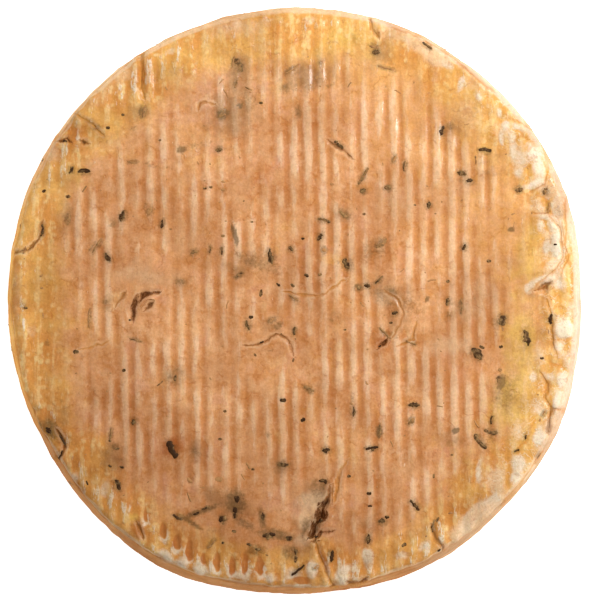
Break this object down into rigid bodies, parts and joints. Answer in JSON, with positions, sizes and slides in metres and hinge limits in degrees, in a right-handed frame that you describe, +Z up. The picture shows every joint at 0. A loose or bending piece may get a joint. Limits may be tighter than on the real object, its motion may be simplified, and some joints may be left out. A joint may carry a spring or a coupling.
{
  "type": "soft cheese wheel",
  "caption": "Low round wheel of ripe soft cheese with a washed golden rind, ridges from its draining mat, splits in the rind and chopped hay and flowers set in its top.",
  "frame": {"origin": "centre of the wheel's box at the plane it rests on", "axes": "+Z up through the ridged top face, +Y along the ridges towards the picture's top edge, +X across them towards its right edge"},
  "size_m": [0.123, 0.126, 0.0304],
  "materials": {
    "washed_rind": "moist washed rind, golden at the rim and peach in the middle, with dark chopped hay and pale mould"
  },
  "bodies": {
    "root": {"cheese_wheel": "washed_rind"}
  },
  "joints": []
}
